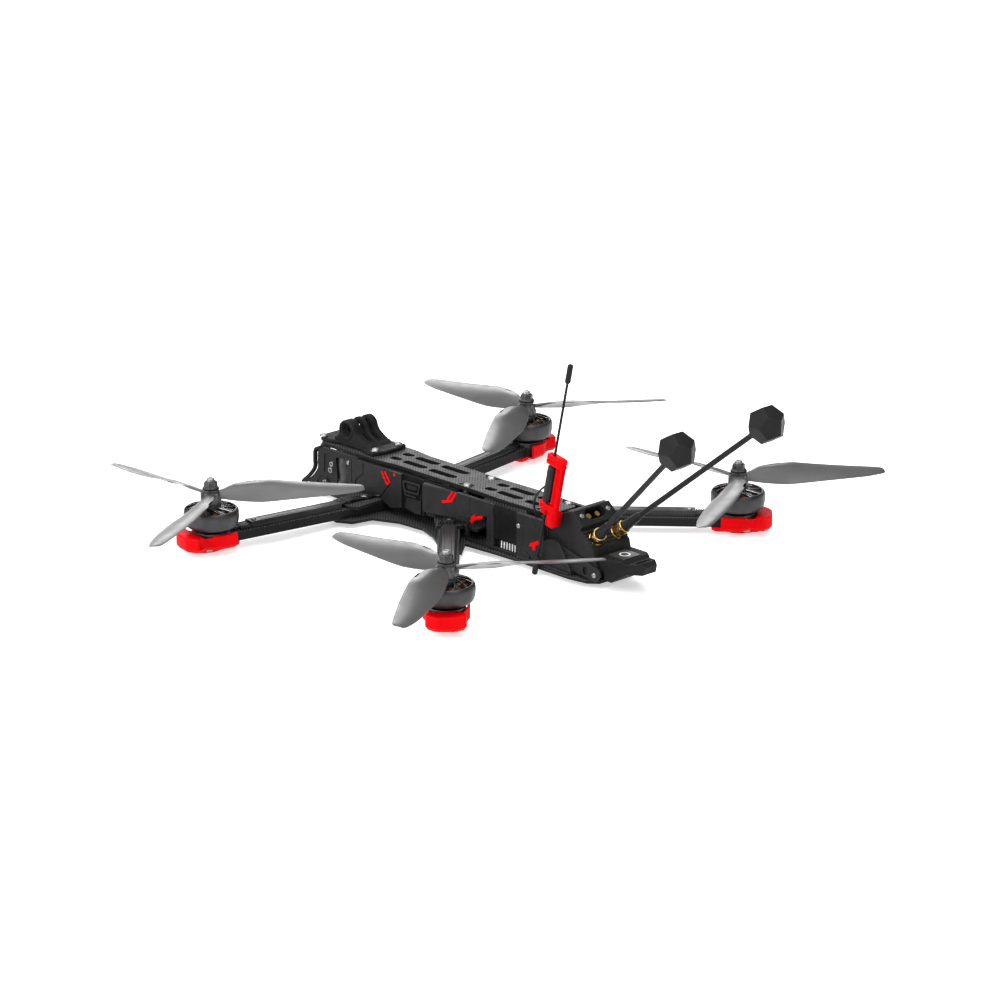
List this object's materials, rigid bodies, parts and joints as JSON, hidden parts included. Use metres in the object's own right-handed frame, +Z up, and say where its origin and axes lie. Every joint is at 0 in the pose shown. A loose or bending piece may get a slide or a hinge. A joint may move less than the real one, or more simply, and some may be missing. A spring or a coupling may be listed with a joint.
{
  "type": "quadcopter drone",
  "caption": "Racing quadcopter: carbon plates, brushless motors with three-bladed propellers, red arm guards, tilting nose camera, action camera mount and tail antennas.",
  "frame": {"origin": "centre of the four motor axes, on the lower face of the bottom plate", "axes": "+X to the nose, +Y to the left side, +Z up"},
  "size_m": [0.4016, 0.436, 0.137],
  "materials": {
    "carbon": "woven carbon fibre sheet, satin",
    "red_guard": "moulded soft red plastic, satin",
    "dark_alloy": "anodised, satin",
    "steel": "machined",
    "prop_plastic": "moulded, semi-gloss",
    "panel_plastic": "moulded, fine grain",
    "soft_black": "flexible, fine layer lines",
    "iron": "stacked sheet",
    "copper": "enamelled wire",
    "wire_jacket": "silicone jacket",
    "camera_shell": "moulded shell",
    "lens_glass": "black barrel with a coated lens",
    "circuit_board": "solder mask",
    "gold": "gold plated",
    "antenna_shell": "moulded, satin",
    "puck_ceramic": "moulded cover"
  },
  "bodies": {
    "frame": {"arm_front_left": "carbon", "motor_skid_front_left": "red_guard", "arm_front_right": "carbon", "motor_skid_front_right": "red_guard", "arm_rear_left": "carbon", "motor_skid_rear_left": "red_guard", "arm_rear_right": "carbon", "motor_skid_rear_right": "red_guard", "arm_covers": "panel_plastic", "side_panel_left": "panel_plastic", "side_panel_right": "panel_plastic", "tail_block": "panel_plastic", "power_plug": "panel_plastic", "motor_bases": "dark_alloy", "standoffs": "dark_alloy", "video_unit": "dark_alloy", "stators": "iron", "windings": "copper", "bearings": "steel", "motor_bolts": "steel", "frame_screws": "steel", "motor_wires": "wire_jacket", "receiver_lead": "wire_jacket", "receiver_antenna": "wire_jacket", "bottom_plate": "carbon", "middle_plate": "carbon", "top_plate": "carbon", "cage_plates": "carbon", "nose_bumper": "soft_black", "action_camera_mount": "soft_black", "tail_wing": "soft_black", "accent_clips": "red_guard", "antenna_holder": "red_guard", "speed_controller": "circuit_board", "flight_controller": "circuit_board", "receiver": "circuit_board", "power_pins": "gold", "antenna_nuts": "gold", "video_antenna_left": "antenna_shell", "video_antenna_right": "antenna_shell", "positioning_puck": "puck_ceramic"},
    "rotor_front_left": {"rotor_bell_front_left": "dark_alloy", "motor_shaft_front_left": "steel", "propeller_front_left": "prop_plastic", "prop_nut_front_left": "dark_alloy"},
    "rotor_front_right": {"rotor_bell_front_right": "dark_alloy", "motor_shaft_front_right": "steel", "propeller_front_right": "prop_plastic", "prop_nut_front_right": "dark_alloy"},
    "rotor_rear_left": {"rotor_bell_rear_left": "dark_alloy", "motor_shaft_rear_left": "steel", "propeller_rear_left": "prop_plastic", "prop_nut_rear_left": "dark_alloy"},
    "rotor_rear_right": {"rotor_bell_rear_right": "dark_alloy", "motor_shaft_rear_right": "steel", "propeller_rear_right": "prop_plastic", "prop_nut_rear_right": "dark_alloy"},
    "camera": {"camera_housing": "camera_shell", "camera_lens": "lens_glass"},
    "button": {"link_button": "camera_shell"}
  },
  "joints": [
    {"name": "rotor_front_left_spin", "type": "hinge", "parent": "frame", "child": "rotor_front_left", "pos_m": [0.0984, 0.134, 0.028], "axis": [0, 0, 1], "continuous": true},
    {"name": "rotor_front_right_spin", "type": "hinge", "parent": "frame", "child": "rotor_front_right", "pos_m": [0.0984, -0.134, 0.028], "axis": [0, 0, 1], "continuous": true},
    {"name": "rotor_rear_left_spin", "type": "hinge", "parent": "frame", "child": "rotor_rear_left", "pos_m": [-0.0984, 0.1235, 0.028], "axis": [0, 0, 1], "continuous": true},
    {"name": "rotor_rear_right_spin", "type": "hinge", "parent": "frame", "child": "rotor_rear_right", "pos_m": [-0.0984, -0.1235, 0.028], "axis": [0, 0, 1], "continuous": true},
    {"name": "camera_tilt", "type": "hinge", "parent": "frame", "child": "camera", "pos_m": [0.1205, 0, 0.0175], "axis": [0, -1, 0], "range_deg": [-5, 30]},
    {"name": "link_button_press", "type": "slide", "parent": "frame", "child": "button", "axis": [0, -1, 0], "range_m": [0, 0.0005], "stiffness_N_per_m": 300}
  ]
}
